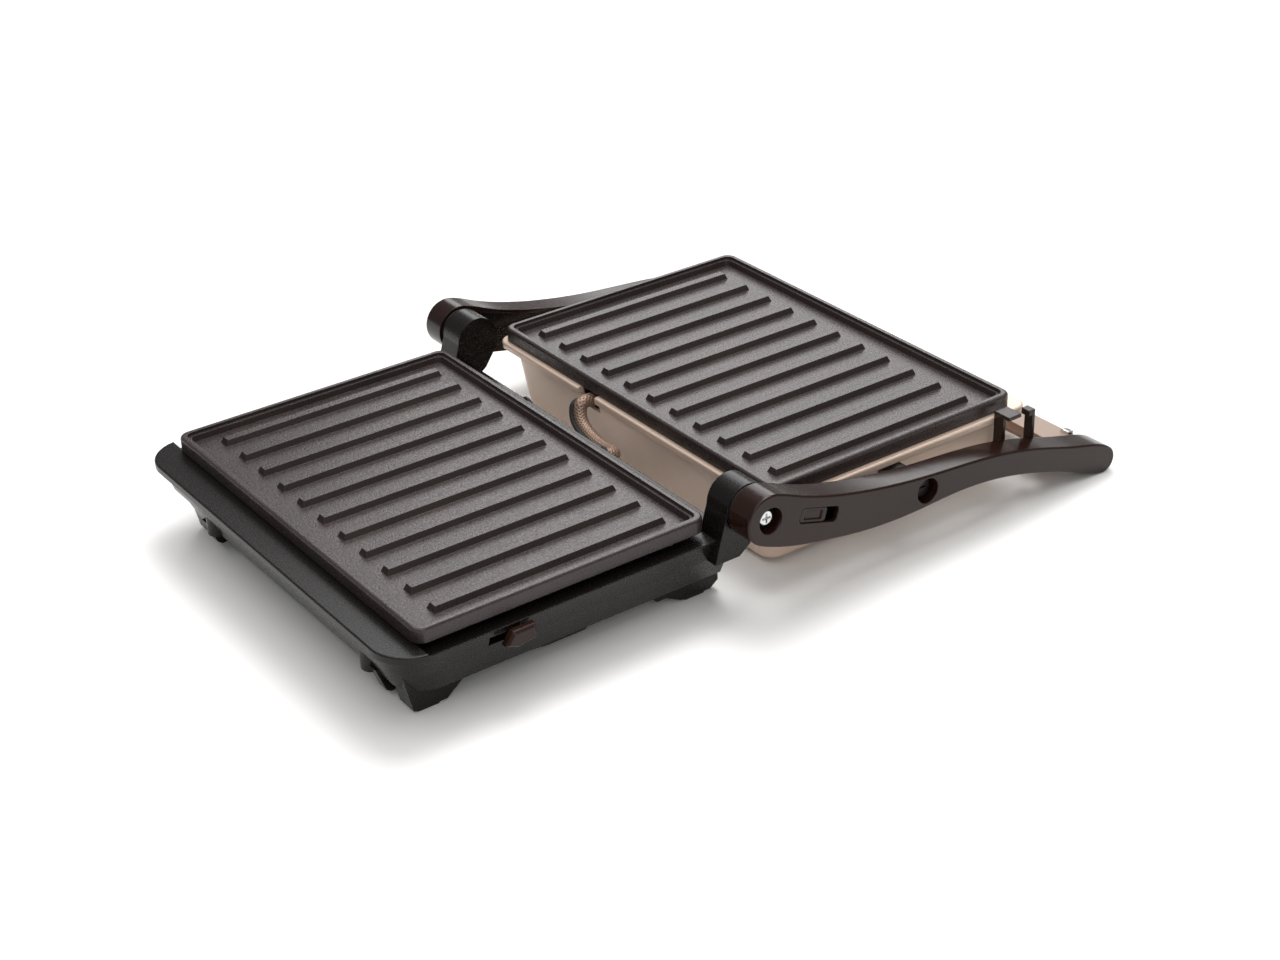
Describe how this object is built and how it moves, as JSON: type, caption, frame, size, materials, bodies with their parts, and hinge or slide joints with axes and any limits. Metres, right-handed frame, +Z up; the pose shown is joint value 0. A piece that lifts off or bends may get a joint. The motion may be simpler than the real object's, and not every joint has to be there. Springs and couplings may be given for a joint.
{
  "type": "panini press",
  "caption": "Contact grill opened flat: two ribbed non-stick plates, a black base and a champagne lid that floats between two curved arms with a bar handle.",
  "frame": {"origin": "middle of the bounding box at table height", "axes": "+Z up, +Y from the base towards the opened lid, +X to the right seen from the front edge of the base"},
  "size_m": [0.2792, 0.416, 0.0644],
  "materials": {
    "black_abs": "moulded satin black ABS",
    "gloss_arm": "moulded semi-gloss dark brown-black ABS",
    "black_abs_knob": "moulded semi-gloss black ABS",
    "nonstick": "die-cast aluminium with dark grey non-stick coating, satin",
    "champagne": "moulded heat-resistant plastic with champagne pearl lacquer, satin",
    "champagne_bar": "moulded ABS with champagne pearl lacquer, satin",
    "element_steel": "drawn stainless tube",
    "sheet_steel": "galvanised sheet",
    "screw_steel": "zinc plated",
    "bright_steel": "bright zinc plated, polished",
    "dark_steel": "black oxide steel",
    "nylon": "moulded black nylon",
    "rubber_pads": "matt",
    "rubber_bush": "matt",
    "ceramic_body": "unglazed white ceramic",
    "braid": "braided glass and copper wire sleeve",
    "lamp_lens": "clear red and green, polished",
    "circuit_board": "resist"
  },
  "bodies": {
    "base": {"base_housing": "black_abs", "base_hinge_towers": "black_abs", "base_bottom_cover": "black_abs", "base_grill_plate": "nonstick", "base_heating_element": "element_steel", "base_heat_shield": "sheet_steel", "base_mount_straps": "sheet_steel", "base_plate_screws": "screw_steel", "base_strap_screws": "screw_steel", "base_thermostat": "ceramic_body", "base_thermal_fuse": "ceramic_body", "rubber_feet": "rubber_pads", "bottom_screws": "screw_steel", "cord_gland": "rubber_bush", "base_sleeve_grommet": "rubber_bush", "hinge_sleeves": "dark_steel", "hinge_washers": "nylon", "hinge_screws": "bright_steel", "wire_sleeve": "braid"},
    "arms": {"right_arm": "gloss_arm", "left_arm": "gloss_arm", "right_arm_inner_covers": "black_abs", "left_arm_inner_covers": "black_abs", "handle_grip": "champagne_bar", "handle_face_plate": "champagne_bar", "handle_screws": "bright_steel", "latch_bracket": "black_abs_knob"},
    "lid": {"lid_cover": "champagne", "lid_grill_plate": "nonstick", "lid_heating_element": "element_steel", "lid_heat_shield": "sheet_steel", "lid_mount_straps": "sheet_steel", "lid_plate_screws": "screw_steel", "lid_strap_screws": "screw_steel", "lid_thermal_fuse": "ceramic_body", "lid_pivot_bosses": "nylon", "lid_pivot_pins": "dark_steel", "indicator_lenses": "lamp_lens", "lamp_board": "circuit_board", "lid_sleeve_clip": "nylon"},
    "release": {"release_slider": "black_abs_knob"},
    "lock": {"lock_slider": "black_abs_knob"}
  },
  "joints": [
    {"name": "arm_hinge", "type": "hinge", "parent": "base", "child": "arms", "pos_m": [0, -0.01895, 0.0515], "axis": [1, 0, 0], "range_deg": [0, 180], "deforming": ["wire_sleeve"]},
    {"name": "lid_float", "type": "hinge", "parent": "arms", "child": "lid", "pos_m": [0, 0.07765, 0.033], "axis": [1, 0, 0], "range_deg": [-1.8, 1.8]},
    {"name": "release_slide", "type": "slide", "parent": "arms", "child": "release", "axis": [0, 0.9588, -0.284], "range_m": [0, 0.0064], "stiffness_N_per_m": 150},
    {"name": "lock_slide", "type": "slide", "parent": "base", "child": "lock", "axis": [0, -1, 0], "range_m": [0, 0.01]}
  ]
}
